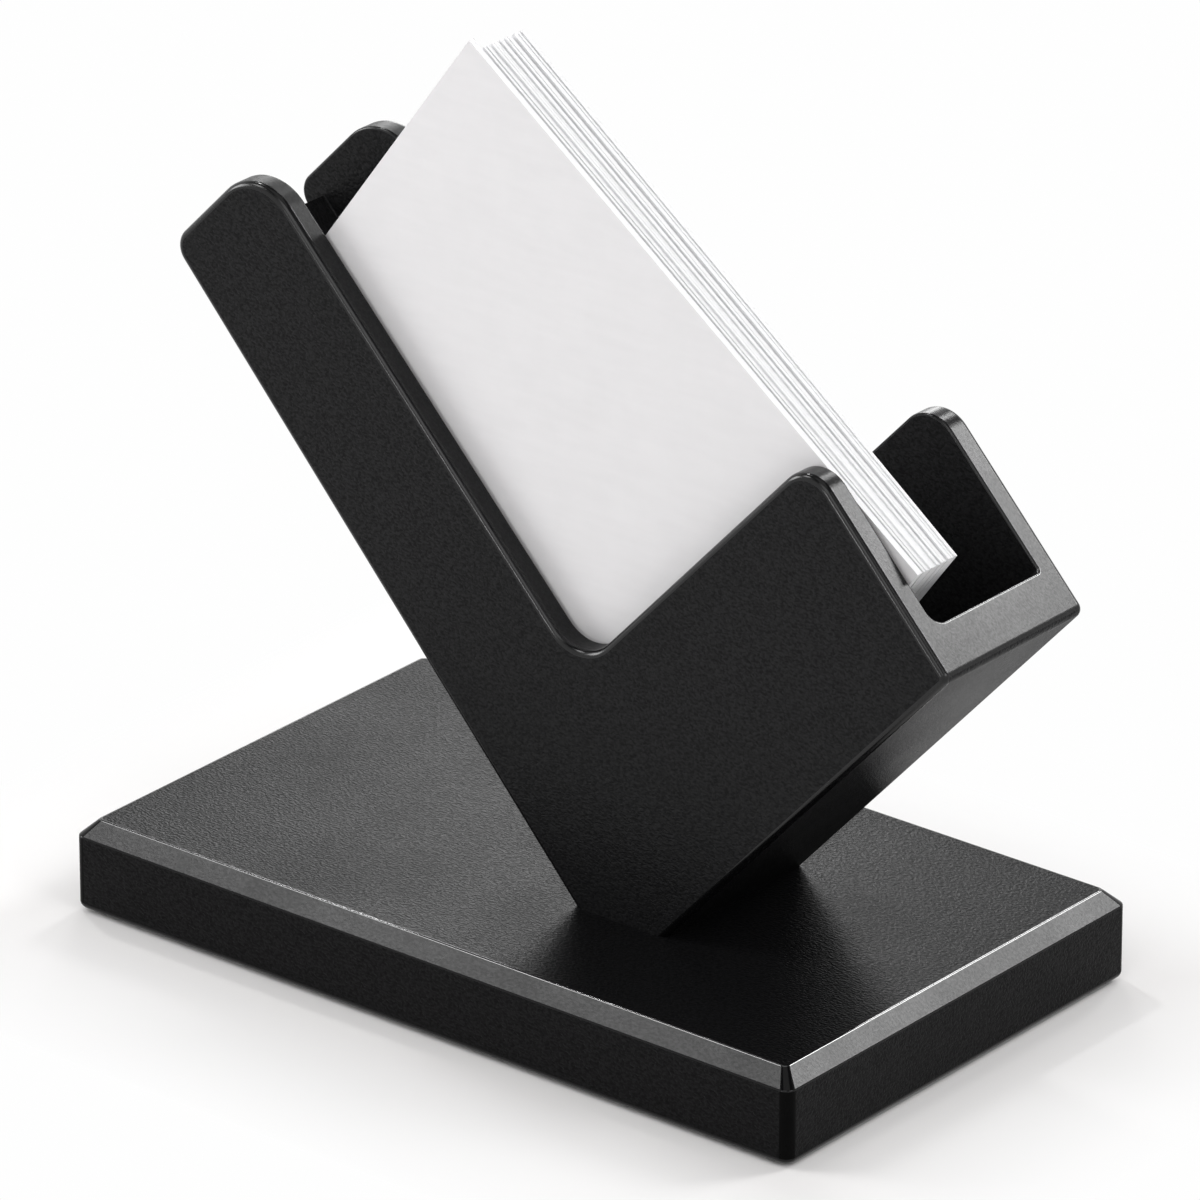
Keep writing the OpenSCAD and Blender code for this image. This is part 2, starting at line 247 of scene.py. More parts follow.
# Worn edges of the plastic, whose darker blacks are a painted shade
WEAR_SCALE = 350
WEAR_LOW = 0.35
WEAR_HIGH = 0.65
WEAR_LIGHTER = 1.5
WEAR_CHANGE = 0.04
WEAR_DEPTH = 0.0004 * MM
WORN = {
    "base_edges": dict(tone=EDGE_TONE_PAINTED_SHADE, gloss=0.2, roughness=0.15, ior=1.5),
    "base_corners": dict(tone=CORNER_TONE_PAINTED_SHADE, gloss=0.04, roughness=0.3, ior=1.5),
    "polished_edges": dict(tone=SATIN_TONE, gloss=1, roughness=0.15, ior=1.6),
    "pocket_edges": dict(tone=EDGE_TONE_PAINTED_SHADE, gloss=0.35, roughness=0.2, ior=1.5),
    "pocket_lip": dict(tone=SATIN_TONE, gloss=1, roughness=0.25, ior=1.6),
}
# Card
FIBRE_SCALE = 900
FIBRE_STRETCH = (0.15, 1, 1)
FIBRE_CONTRAST = 0.02
FIBRE_DEPTH = 0.004 * MM
CLOUD_SCALE = 250
CARD_ROUGHNESS = 0.85
CARD_GLOSS = 0.2
# Metal
SCREW_ROUGHNESS = 0.35
PLATE_ROUGHNESS = 0.4
INSERT_ROUGHNESS = 0.3
METAL_SCALE = 2000
METAL_DARKER = 0.85
METAL_CHANGE = 0.08
METAL_LINE_DEPTH = 0.003 * MM
BRUSHED_ALONG = (0.05, 1, 1)
TURNED_ROUND = (1, 1, 6)
METAL_EDGE = 0.05 * MM
PLATE_EDGE = 0.15 * MM
# Rubber
PORE_SCALE = 2500
PORE_DEPTH = 0.03 * MM
RUBBER_ROUGHNESS = 0.9
RUBBER_GLOSS = 0.3
PAD_EDGE = 0.15 * MM
# How finely noise is made
COARSE_DETAIL = 1
FINE_DETAIL = 3
WEAR_DETAIL = 4


def heading(angle):
    """The vector of length one in the direction of an angle."""
    return Vector((math.cos(math.radians(angle)), math.sin(math.radians(angle))))


def along(point, angle, distance):
    """The point at a distance in the direction of an angle."""
    return point + distance * heading(angle)


def meet(p, a, q, b):
    """Where the line through p at angle a meets the line through q at angle b."""
    return along(p, a, (q - p).cross(heading(b)) / math.sin(math.radians(b - a)))


def corner_arc(before, corner, after, radius, steps):
    """The points of the arc that rounds a corner."""
    if radius == 0:
        return [corner]
    back = (before - corner).normalized()
    ahead = (after - corner).normalized()
    half = back.angle(ahead) / 2
    centre = corner + (back + ahead).normalized() * radius / math.sin(half)
    start = corner + back * radius / math.tan(half) - centre
    sweep = math.copysign(math.pi - 2 * half, ahead.cross(back))
    return [centre + Matrix.Rotation(sweep * k / steps, 2) @ start for k in range(steps + 1)]


def rounded(points, radii, steps, closed=True):
    """One list of points for each corner of an outline, rounded by its radius."""
    arcs = []
    for i, corner in enumerate(points):
        inside = closed or 0 < i < len(points) - 1
        radius = radii[i] if inside else 0
        after = points[(i + 1) % len(points)]
        arcs.append(corner_arc(points[i - 1], corner, after, radius, steps))
    return arcs


def make_object(bm, name, materials=()):
    """Makes an object of a bmesh."""
    bmesh.ops.recalc_face_normals(bm, faces=bm.faces)
    mesh = bpy.data.meshes.new(name)
    bm.to_mesh(mesh)
    bm.free()
    for material in materials:
        mesh.materials.append(material)
    piece = bpy.data.objects.new(name, mesh)
    bpy.context.scene.collection.objects.link(piece)
    return piece


def smooth_shading(piece):
    """Shades the rounded edges smooth and keeps the flat faces beside them flat."""
    piece.data.shade_smooth()
    piece.data.set_sharp_from_angle(angle=math.radians(SMOOTH_BELOW))
    modifier = piece.modifiers.new("flat_faces", "WEIGHTED_NORMAL")
    modifier.weight = FACE_WEIGHT
    modifier.keep_sharp = True
    return piece


def combine(piece, tool, operation):
    """Cuts a tool out of a piece, or joins it to the piece, and removes the tool."""
    modifier = piece.modifiers.new("combine", "BOOLEAN")
    modifier.operation = operation
    modifier.solver = "EXACT"
    modifier.use_self = True
    modifier.object = tool
    result = piece.evaluated_get(bpy.context.evaluated_depsgraph_get())
    mesh = bpy.data.meshes.new_from_object(result)
    piece.modifiers.remove(modifier)
    piece.data = mesh
    bpy.data.objects.remove(tool)


def add_box(bm, low, high):
    """Adds a box between two corners."""
    centre = (Vector(low) + Vector(high)) / 2
    size = Vector(high) - Vector(low)
    matrix = Matrix.Translation(centre) @ Matrix.Diagonal((*size, 1))
    bmesh.ops.create_cube(bm, size=1, matrix=matrix)


def add_post(bm, x, y, radius, low_z, high_z):
    """Adds an upright cylinder."""
    matrix = Matrix.Translation((x, y, (low_z + high_z) / 2))
    depth = high_z - low_z
    bmesh.ops.create_cone(
        bm, cap_ends=True, segments=HOLE_STEPS, radius1=radius, radius2=radius, depth=depth, matrix=matrix
    )


def plate_screw_places():
    """The places of the four screws that hold the steel plate."""
    reach_x = BASE_HIGH.x - PLATE_SCREW_INSET
    reach_y = BASE_HIGH.y - PLATE_SCREW_INSET
    return [(x, y) for x in (-reach_x, reach_x) for y in (-reach_y, reach_y)]


def seat_middle():
    """Where the middle of the pocket's seat is, from left to right."""
    low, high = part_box("pocket_screws")
    return (low.x + high.x) / 2


def ring_points(inset, z):
    """A rounded rectangle at a height, set in from the base's sides."""
    share = min(inset / BASE_CHAMFER, 1)
    radius = BASE_CORNER_R + (BASE_TOP_CORNER_R - BASE_CORNER_R) * share
    half_l = BASE_HIGH.x - inset
    half_w = BASE_HIGH.y - inset
    points = []
    for turn, (x, y) in enumerate([(1, 1), (-1, 1), (-1, -1), (1, -1)]):
        centre = Vector((x * (half_l - radius), y * (half_w - radius)))
        for k in range(BASE_CORNER_STEPS + 1):
            angle = QUARTER_TURN * (turn + k / BASE_CORNER_STEPS)
            spot = along(centre, angle, radius)
            points.append(Vector((spot.x, spot.y, z)))
    return points


def base_finish(row, on_edge, in_corner):
    """The place of the finish that a face of the base's block takes. Its rows run from the top edge
    over the chamfer to the side and the foot."""
    chamfer_row = BASE_EDGE_STEPS
    side_row = chamfer_row + BASE_EDGE_STEPS + 1
    if row < chamfer_row:
        return BASE_TOP_EDGE
    # The upright corners' sides take the darkest black, as painted shade
    if in_corner and row == side_row:
        return BASE_CORNERS
    if on_edge or in_corner:
        return EDGES
    return RIMS if row == chamfer_row else FACES


def base_block(materials):
    """The base's block, with a finish of its own for its edges, chamfer, corners and top edge. Its edges and
    upright corners are painted darker, as shade.
    """
    top = BASE_HIGH.z
    foot = BASE_LOW.z
    middle = BASE_CHAMFER + BASE_CORNER_R
    section = [(middle, top), (BASE_CHAMFER, top), (0, top - BASE_CHAMFER), (0, foot), (middle, foot)]
    radii = [0, TOP_EDGE_R, SIDE_EDGE_R, FOOT_EDGE_R, 0]
    arcs = rounded([Vector(p) for p in section], radii, BASE_EDGE_STEPS, closed=False)[1:-1]
    bm = bmesh.new()
    rings = []
    on_edge = []
    for arc in arcs:
        for k, spot in enumerate(arc):
            rings.append([bm.verts.new(p) for p in ring_points(spot.x, spot.y)])
            on_edge.append(k < len(arc) - 1)
    for i, (ring, following) in enumerate(zip(rings, rings[1:])):
        for k in range(len(ring)):
            j = (k + 1) % len(ring)
            face = bm.faces.new([ring[k], ring[j], following[j], following[k]])
            in_corner = k % (BASE_CORNER_STEPS + 1) < BASE_CORNER_STEPS
            face.material_index = base_finish(i, on_edge[i], in_corner)
    bm.faces.new(rings[0])
    bm.faces.new(rings[-1])
    return make_object(bm, "base_shell_skin", materials)


def base_hollow():
    """The space under the base's roof, less its ribs and screw bosses."""
    roof = BASE_HIGH.z - BASE_ROOF
    inner_l = BASE_HIGH.x - BASE_WALL
    inner_w = BASE_HIGH.y - BASE_WALL
    bm = bmesh.new()
    add_box(bm, (-inner_l, -inner_w, BASE_LOW.z - OVERRUN), (inner_l, inner_w, roof))
    hollow = make_object(bm, "hollow")
    bm = bmesh.new()
    rib_low = PLATE_TOP + RIB_CLEAR
    for x, y in plate_screw_places():
        add_post(bm, x, y, BOSS_R, PLATE_TOP, roof + OVERRUN)
    for y in (-RIB_Y, RIB_Y):
        low = (-inner_l - OVERRUN, y - RIB_T / 2, rib_low)
        add_box(bm, low, (inner_l + OVERRUN, y + RIB_T / 2, roof + OVERRUN))
    for k in RIB_PLACES:
        x = seat_middle() + k * RIB_PITCH
        low = (x - RIB_T / 2, -inner_w - OVERRUN, rib_low)
        add_box(bm, low, (x + RIB_T / 2, inner_w + OVERRUN, roof + OVERRUN))
    combine(hollow, make_object(bm, "ribs"), "DIFFERENCE")
    return hollow


def build_base(materials):
    """The base shell: a rounded block, hollowed from below, with ribs, bosses and holes."""
    piece = base_block(materials)
    combine(piece, base_hollow(), "DIFFERENCE")
    rebate_l = BASE_HIGH.x - BASE_WALL + LEDGE_W
    rebate_w = BASE_HIGH.y - BASE_WALL + LEDGE_W
    roof = BASE_HIGH.z - BASE_ROOF
    bm = bmesh.new()
    add_box(bm, (-rebate_l, -rebate_w, BASE_LOW.z - OVERRUN), (rebate_l, rebate_w, PLATE_TOP))
    for x, y in plate_screw_places():
        add_post(bm, x, y, BOSS_BORE_R, PLATE_TOP - OVERRUN, BOSS_BORE_TOP)
    for side in (-1, 1):
        y = side * POCKET_SCREW_GAP / 2
        add_post(bm, seat_middle(), y, SCREW_HOLE_R, roof - OVERRUN, BASE_HIGH.z + OVERRUN)
        x = seat_middle() + side * PEG_GAP / 2
        add_post(bm, x, 0, PEG_HOLE_R, BASE_HIGH.z - PEG_HOLE_DEPTH, BASE_HIGH.z + OVERRUN)
    combine(piece, make_object(bm, "cuts"), "DIFFERENCE")
    return smooth_shading(piece)


def pocket_corners():
    """The pocket's outline as a list of corners, the lines that its inner space follows from the back
    wall's end to the mouth, each as a point for a height above it, and the back wall's outer end."""
    base_top = BASE_HIGH.z
    arm_dir = HALF_TURN - ARM_LEAN
    mouth_dir = HALF_TURN - MOUTH_LEAN
    arm_in = arm_dir - QUARTER_TURN
    floor_in = FLOOR_RISE + QUARTER_TURN
    desk = Vector((0, base_top))
    low = Vector((POCKET_X, base_top - CORNER_CUT))
    mouth_low = along(low, FLOOR_RISE, CHEEK_LEN)
    tip_out = along(low, arm_dir, ARM_LEN)
    corners = [
        meet(low, arm_dir, desk, 0),
        meet(low, FLOOR_RISE, desk, 0),
        mouth_low,
        meet(mouth_low, mouth_dir, along(low, floor_in, CHEEK_MOUTH_D), FLOOR_RISE),
        meet(along(low, arm_in, ARM_ROOT_W), arm_dir, along(low, floor_in, CHEEK_ROOT_D), FLOOR_RISE),
        meet(tip_out, TIP_RISE, along(low, arm_in, ARM_TIP_W), arm_dir),
        tip_out,
    ]

    def spine_line(height):
        return along(low, arm_in, SPINE_T + height)

    def floor_line(height):
        return along(low, floor_in, FLOOR_T + height)

    def block_line(height):
        return Vector((0, base_top + BLOCK_H + height))

    stations = [
        lambda height: along(spine_line(height), arm_dir, SPINE_LEN),
        lambda height: meet(spine_line(height), arm_dir, block_line(height), 0),
        lambda height: meet(floor_line(height), FLOOR_RISE, block_line(height), 0),
        lambda height: meet(floor_line(height), FLOOR_RISE, mouth_low, mouth_dir),
    ]
    return corners, stations, along(low, arm_dir, SPINE_LEN)


def upright(spot, y):
    """A point of the upright plane at a place across the object."""
    return Vector((spot.x, y, spot.y))


def space_section(station, near_r, far_r):
    """A line across the inner space's floor at one station, from cheek to cheek, with rounded corners."""
    half = POCKET_W / 2 - CHEEK_T
    points = []
    for k in range(INNER_CORNER_STEPS + 1):
        turn = heading(QUARTER_TURN * k / INNER_CORNER_STEPS)
        points.append(upright(station(near_r * (1 - turn.y)), near_r * (1 - turn.x) - half))
    for k in reversed(range(INNER_CORNER_STEPS + 1)):
        turn = heading(QUARTER_TURN * k / INNER_CORNER_STEPS)
        points.append(upright(station(far_r * (1 - turn.y)), half - far_r * (1 - turn.x)))
    return points


def add_line(bm, points, y):
    """A row of vertices along a line of the upright plane, at a place across the object."""
    return [bm.verts.new(upright(p, y)) for p in points]


def add_strip(bm, row, following, finish=FACES):
    """The faces between two rows of vertices."""
    for k in range(len(row) - 1):
        face = bm.faces.new([row[k], row[k + 1], following[k + 1], following[k]])
        face.material_index = finish


def mark_edges(bm, kinds, verts, kind):
    """Notes the kind of the edges along a row of vertices."""
    for a, b in zip(verts, verts[1:]):
        bm.edges.get([a, b])[kinds] = kind


class PocketRows:
    """The rows of vertices that the pocket's faces are drawn between.

    The back row runs from the arm's tip down to the seat and along the underside to the mouth, the
    front row from the mouth's top through the notch to the tip, and each rim row follows the front
    row on the inside of its cheek."""

    def __init__(self, bm):
        corners, stations, wall_out = pocket_corners()
        radii = [0, 0, MOUTH_LOW_R, MOUTH_HIGH_R, NOTCH_R, TIP_IN_R, TIP_OUT_R]
        arcs = rounded(corners, radii, ARC_STEPS)
        arm_seat, floor_seat, mouth_low, mouth_high, notch, tip_in, tip_out = arcs
        half = POCKET_W / 2
        inner = half - CHEEK_T
        tip = tip_out + [wall_out]
        back = tip + arm_seat + floor_seat + mouth_low
        front = mouth_high + notch + tip_in
        self.wall = len(tip) - 1
        self.seat = len(tip)
        self.under = self.seat + 1
        self.bend = self.under + 1
        self.back_near, self.back_far = add_line(bm, back, -half), add_line(bm, back, half)
        self.front_near, self.front_far = add_line(bm, front, -half), add_line(bm, front, half)
        self.rim_near, self.rim_far = add_line(bm, front, -inner), add_line(bm, front, inner)
        self.tip_near, self.tip_far = add_line(bm, tip, -inner), add_line(bm, tip, inner)
        small_radii = (INNER_CORNER_R, INNER_CORNER_R)
        mouth_radii = (NEAR_MOUTH_CORNER_R, FAR_MOUTH_CORNER_R)
        self.space = [
            [bm.verts.new(p) for p in space_section(station, *pair)]
            for station, pair in zip(stations, [small_radii, small_radii, small_radii, mouth_radii])
        ]
        self.mouth = [self.rim_near[0]] + self.space[-1] + [self.rim_far[0]]


def add_pocket_strips(bm, rows):
    """The faces that run across the pocket: its tips, seat, underside, rims and inner space."""
    wall, seat, under, bend = rows.wall, rows.seat, rows.under, rows.bend
    turn = bend + LOW_BEND_STEPS
    near, far = rows.back_near, rows.back_far
    add_strip(bm, near[: wall + 1], rows.tip_near)
    add_strip(bm, rows.tip_far, far[: wall + 1])
    add_strip(bm, near[seat : under + 1], far[seat : under + 1])
    add_strip(bm, near[under : bend + 1], far[under : bend + 1], POCKET_UNDERSIDE)
    add_strip(bm, near[bend : turn + 1], far[bend : turn + 1])
    add_strip(bm, near[turn:], far[turn:], RIMS)
    for row, following in ((rows.front_near, rows.rim_near), (rows.rim_far, rows.front_far)):
        add_strip(bm, row[: ARC_STEPS + 1], following[: ARC_STEPS + 1], RIMS)
        add_strip(bm, row[ARC_STEPS:], following[ARC_STEPS:], POCKET_STRIPS)
    for row, following in zip(rows.space, rows.space[1:]):
        add_strip(bm, row, following)


def add_pocket_flats(bm, rows):
    """The pocket's flat faces: its back wall, cheeks and mouth."""
    wall, seat = rows.wall, rows.seat
    near, far = rows.back_near, rows.back_far
    tip_near, tip_far = rows.tip_near, rows.tip_far
    bm.faces.new([near[wall], tip_near[-1], tip_far[-1], far[wall], far[seat], near[seat]])
    bm.faces.new([tip_near[-1]] + rows.space[0] + [tip_far[-1]])
    bm.faces.new(near + rows.front_near)
    bm.faces.new(far + rows.front_far)
    bm.faces.new(rows.rim_near + tip_near + [row[0] for row in rows.space])
    bm.faces.new(rows.rim_far + tip_far + [row[-1] for row in rows.space])
    bm.faces.new([rows.front_near[-1], rows.rim_near[-1], tip_near[0], near[0]])
    bm.faces.new([rows.front_far[-1], rows.rim_far[-1], tip_far[0], far[0]])
    mouth_face = bm.faces.new([near[-1], rows.front_near[0]] + rows.mouth + [rows.front_far[0], far[-1]])
    mouth_face.material_index = RIMS


def mark_pocket_edges(bm, kinds, rows):
    """Notes which of the pocket's edges are rounded. Those along the seat stay sharp."""
    for back, front in ((rows.back_near, rows.front_near), (rows.back_far, rows.front_far)):
        side = back + front + back[:1]
        mark_edges(bm, kinds, side[: rows.under], OUTER_EDGE)
        mark_edges(bm, kinds, side[rows.under :], OUTER_EDGE)
    wall_top = [rows.tip_near[-1], rows.tip_far[-1]]
    for rim in (rows.rim_near + rows.tip_near, rows.rim_far + rows.tip_far, rows.mouth, wall_top):
        mark_edges(bm, kinds, rim, INNER_EDGE)


def build_pocket(materials):
    """The pocket: two L-shaped cheeks joined by a back wall, a solid foot and a floor."""
    bm = bmesh.new()
    kinds = bm.edges.layers.int.new("edge_kind")
    rows = PocketRows(bm)
    add_pocket_strips(bm, rows)
    add_pocket_flats(bm, rows)
    bmesh.ops.recalc_face_normals(bm, faces=bm.faces)
    mark_pocket_edges(bm, kinds, rows)
    round_edges(bm, kinds, OUTER_EDGE, OUTER_EDGE_R, OUTER_EDGE_STEPS)
    round_edges(bm, kinds, INNER_EDGE, RIM_EDGE_R, RIM_EDGE_STEPS)
    polish_lip(bm)
    piece = make_object(bm, "card_pocket_body", materials)
    fit_foot(piece)
    return smooth_shading(piece)


def round_edges(bm, layer, kind, radius, steps):
    """Rounds the edges of one kind. The new faces take the finish of edges, whose darker black is painted
    shade.
    """
    bmesh.ops.bevel(
        bm,
        geom=[edge for edge in bm.edges if edge[layer] == kind],
        offset=radius,
        offset_type="OFFSET",
        segments=steps,
        profile=ROUND_PROFILE,
        affect="EDGES",
        clamp_overlap=False,
        material=EDGES,
    )


def polish_lip(bm):
    """Gives the lip's finish to the rounded edge where the inner floor meets the mouth."""
    corners, stations, _ = pocket_corners()
    mouth_low = corners[2]
    floor_end = stations[3](0)
    out_of_mouth = heading(QUARTER_TURN - MOUTH_LEAN)
    up_from_floor = heading(FLOOR_RISE + QUARTER_TURN)
    for face in bm.faces:
        middle = face.calc_center_median()
        spot = Vector((middle.x, middle.z))
        depth = (mouth_low - spot).dot(out_of_mouth)
        height = (spot - floor_end).dot(up_from_floor)
        if face.material_index == EDGES and depth < RIM_EDGE_R and abs(height) < RIM_EDGE_R:
            face.material_index = POCKET_LIP


def fit_foot(piece):
    """Adds the two locating pegs to the pocket's foot and bores it for the two inserts."""
    seat_z = BASE_HIGH.z
    bore_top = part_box("pocket_inserts")[1].z + INSERT_END
    pegs = bmesh.new()
    bores = bmesh.new()
    for side in (-1, 1):
        add_post(pegs, seat_middle() + side * PEG_GAP / 2, 0, PEG_R, seat_z - PEG_LEN, seat_z + OVERRUN)
        y = side * POCKET_SCREW_GAP / 2
        add_post(bores, seat_middle(), y, INSERT_BORE_R, seat_z - OVERRUN, bore_top)
    combine(piece, make_object(pegs, "pegs"), "UNION")
    combine(piece, make_object(bores, "bores"), "DIFFERENCE")


def deck_bows():
    """How far each card of the deck bows back at its middle: a little more from card to card."""
    draws = random.Random(BOW_SEED)
    bows = []
    total = 0
    for count in DECK_GROUPS:
        total += GROUP_BOW * draws.random()
        for _ in range(count):
            total += CARD_BOW * draws.random()
            bows.append(total)
    return bows


def card_sheets(bm, node, length, thickness, fan, bow):
    """The vertices of a card's front and back, each as rows from the lower end to the upper.

    The card lies in the place of its CAD node, turned about its lower end by fan, and is faintly
    bowed."""
    low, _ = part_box(node)
    turn = math.radians(fan)
    slope = heading(-CARD_SLOPE)
    down = Vector((slope.x, 0, slope.y))
    across = Vector((0, 1, 0))
    up = across.cross(-down)
    to_top = across * math.sin(turn) - down * math.cos(turn)
    to_back = across * math.cos(turn) + down * math.sin(turn)
    start = Vector((low.x, low.y, low.z)) + down * length * math.cos(turn)
    start.z = low.z - thickness * math.sin(turn) * slope.y
    sheets = []
    for depth in (0, thickness):
        rows = []
        for i in range(CARD_STEPS_L + 1):
            share = i / CARD_STEPS_L
            lift = depth + bow * math.sin(math.pi * share)
            spot = start + to_top * length * share + to_back * lift
            steps = range(CARD_STEPS_W + 1)
            rows.append([bm.verts.new(spot + up * CARD_W * j / CARD_STEPS_W) for j in steps])
        sheets.append(rows)
    return sheets


def build_card(node, length, thickness, fan, bow, materials):
    """A card with faintly rounded edges. Its edges take the second material."""
    bm = bmesh.new()
    sheets = card_sheets(bm, node, length, thickness, fan, bow)
    for rows in sheets:
        for row, following in zip(rows, rows[1:]):
            add_strip(bm, row, following)
    front, back = [border(rows) for rows in sheets]
    add_strip(bm, front + front[:1], back + back[:1], EDGES)
    bmesh.ops.recalc_face_normals(bm, faces=bm.faces)
    sharp = [edge for edge in bm.edges if edge.calc_face_angle() > math.radians(CARD_EDGE_ABOVE)]
    bmesh.ops.bevel(
        bm, geom=sharp, offset=CARD_EDGE_R, segments=SMALL_EDGE_STEPS, profile=ROUND_PROFILE, affect="EDGES"
    )
    return smooth_shading(make_object(bm, node + "_sheet", materials))


def border(rows):
    """The vertices round the border of a grid, in order."""
    ends = [row[-1] for row in rows[1:-1]]
    starts = [row[0] for row in rows[1:-1]]
    return rows[0] + ends + rows[-1][::-1] + starts[::-1]


class Finish:
    """A material in the making: its shader, and short ways to feed it with textures."""

    def __init__(self, name):
        self.material = bpy.data.materials.new(name)
        self.material.use_nodes = True
        self.nodes = self.material.node_tree.nodes
        self.link = self.material.node_tree.links.new
        self.shader = self.nodes["Principled BSDF"]
        self.place = self.nodes.new("ShaderNodeTexCoord").outputs["Object"]

    def fix(self, name, value):
        """Sets one of the shader's values, the same all over."""
        self.shader.inputs[name].default_value = value

    def feed(self, name, source):
        """Links a texture's value to one of the shader's inputs."""
        self.link(source, self.shader.inputs[name])

    def noise(self, scale, detail=2, distortion=0, stretch=(1, 1, 1)):
        """Cloudy noise with so many features in a metre."""
        mapping = self.nodes.new("ShaderNodeMapping")
        mapping.inputs["Scale"].default_value = stretch
        self.link(self.place, mapping.inputs["Vector"])
        texture = self.nodes.new("ShaderNodeTexNoise")
        texture.inputs["Scale"].default_value = scale
        texture.inputs["Detail"].default_value = detail
        texture.inputs["Distortion"].default_value = distortion
        self.link(mapping.outputs["Vector"], texture.inputs["Vector"])
        return texture.outputs["Fac"]

    def ranged(self, source, start, end, low, high):
        """Maps the values from start to end onto those from low to high."""
        node = self.nodes.new("ShaderNodeMapRange")
        for name, value in zip(("From Min", "From Max", "To Min", "To Max"), (start, end, low, high)):
            node.inputs[name].default_value = value
        self.link(source, node.inputs["Value"])
        return node.outputs["Result"]

    def spread(self, source, low, high):
        """Maps the values that most of a noise lies between onto those from low to high."""
        return self.ranged(source, NOISE_LOW, NOISE_HIGH, low, high)

    def combined(self, operation, first, second=0):
        """Two values, or a value and a number, put together by an operation."""
        node = self.nodes.new("ShaderNodeMath")
        node.operation = operation
        for socket, value in zip(node.inputs, (first, second)):
            if isinstance(value, (int, float)):
                socket.default_value = value
            else:
                self.link(value, socket)
        return node.outputs[0]

    def colours(self, source, dark, light):
        """A colour between two, by a texture's value."""
        node = self.nodes.new("ShaderNodeMixRGB")
        node.inputs["Color1"].default_value = (*dark, 1)
        node.inputs["Color2"].default_value = (*light, 1)
        self.link(source, node.inputs["Fac"])
        return node.outputs["Color"]

    def bump(self, source, depth):
        """Raises the surface by a texture's value, by so many metres at most."""
        node = self.nodes.new("ShaderNodeBump")
        node.inputs["Distance"].default_value = depth
        self.link(source, node.inputs["Height"])
        self.feed("Normal", node.outputs["Normal"])


def scaled(tone, factor):
    """A colour made lighter or darker."""
    return [channel * factor for channel in tone]


def moulded_plastic(name, tone, gloss, roughness, depth, contrast):
    """Black moulded plastic with a fine grain and slightly uneven gloss. Its tone and gloss drop in the
    grain's hollows as painted shade.
    """
    finish = Finish(name)
    relief = finish.noise(GRAIN_SCALE, detail=COARSE_DETAIL, distortion=GRAIN_BEND, stretch=GRAIN_STRETCH)
    grain = finish.ranged(relief, GRAIN_LOW, GRAIN_HIGH, 0, 1)
    low = 1 - contrast
    high = 1 + contrast
    # Darker and less glossy in the grain's hollows, lighter on its ridges: painted shade in the hollows
    finish.feed("Base Color", finish.colours(grain, scaled(tone, low), scaled(tone, high)))
    finish.feed("Specular IOR Level", finish.ranged(grain, 0, 1, gloss * low, gloss * high))
    patches = finish.noise(PATCH_SCALE, detail=FINE_DETAIL)
    finish.feed("Roughness", finish.spread(patches, roughness - PATCH_CHANGE, roughness + PATCH_CHANGE))
    finish.bump(grain, depth)
    return finish.material


def worn_edges(name, tone, gloss, roughness, ior):
    """The plastic's rounded edges, where handling has polished the grain away in patches."""
    finish = Finish(name)
    wear = finish.ranged(finish.noise(WEAR_SCALE, detail=WEAR_DETAIL), WEAR_LOW, WEAR_HIGH, 0, 1)
    finish.feed("Base Color", finish.colours(wear, tone, scaled(tone, WEAR_LIGHTER)))
    finish.feed("Roughness", finish.ranged(wear, 0, 1, roughness + WEAR_CHANGE, roughness - WEAR_CHANGE))
    finish.fix("Specular IOR Level", gloss)
    finish.fix("IOR", ior)
    finish.bump(finish.noise(GRAIN_SCALE), WEAR_DEPTH)
    return finish.material


def paper(name, tone):
    """Uncoated card with faint long fibres."""
    finish = Finish(name)
    fibres = finish.noise(FIBRE_SCALE, detail=FINE_DETAIL, stretch=FIBRE_STRETCH)
    clouds = finish.noise(CLOUD_SCALE, detail=FINE_DETAIL)
    mean = finish.combined("MULTIPLY", finish.combined("ADD", fibres, clouds), 1 / 2)
    dark = scaled(tone, 1 - FIBRE_CONTRAST)
    light = scaled(tone, 1 + FIBRE_CONTRAST)
    finish.feed("Base Color", finish.colours(finish.spread(mean, 0, 1), dark, light))
    finish.fix("Roughness", CARD_ROUGHNESS)
    finish.fix("Specular IOR Level", CARD_GLOSS)
    finish.bump(fibres, FIBRE_DEPTH)
    return finish.material


def brushed_metal(name, tone, roughness, stretch):
    """Plated or turned metal with fine lines along one direction."""
    finish = Finish(name)
    lines = finish.noise(METAL_SCALE, detail=FINE_DETAIL, stretch=stretch)
    finish.feed("Base Color", finish.colours(finish.spread(lines, 0, 1), scaled(tone, METAL_DARKER), tone))
    finish.feed("Roughness", finish.spread(lines, roughness - METAL_CHANGE, roughness + METAL_CHANGE))
    finish.fix("Metallic", 1)
    finish.bump(lines, METAL_LINE_DEPTH)
    return finish.material


def rubber(name, dark, light):
    """Matt foamed rubber with fine pores."""
    finish = Finish(name)
    pores = finish.noise(PORE_SCALE, detail=FINE_DETAIL)
    finish.feed("Base Color", finish.colours(finish.spread(pores, 0, 1), dark, light))
    finish.fix("Roughness", RUBBER_ROUGHNESS)
    finish.fix("Specular IOR Level", RUBBER_GLOSS)
    finish.bump(pores, PORE_DEPTH)
    return finish.material


def dress_cad_node(node, material, edge):
    """Gives a CAD node that stays its finish, and breaks its sharp edges."""
    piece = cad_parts[node]
    piece.data.materials.clear()
    piece.data.materials.append(material)
    modifier = piece.modifiers.new("broken_edges", "BEVEL")
    modifier.width = edge
    modifier.segments = SMALL_EDGE_STEPS
    modifier.limit_method = "ANGLE"
    modifier.angle_limit = math.radians(SMOOTH_BELOW)
    modifier.harden_normals = True


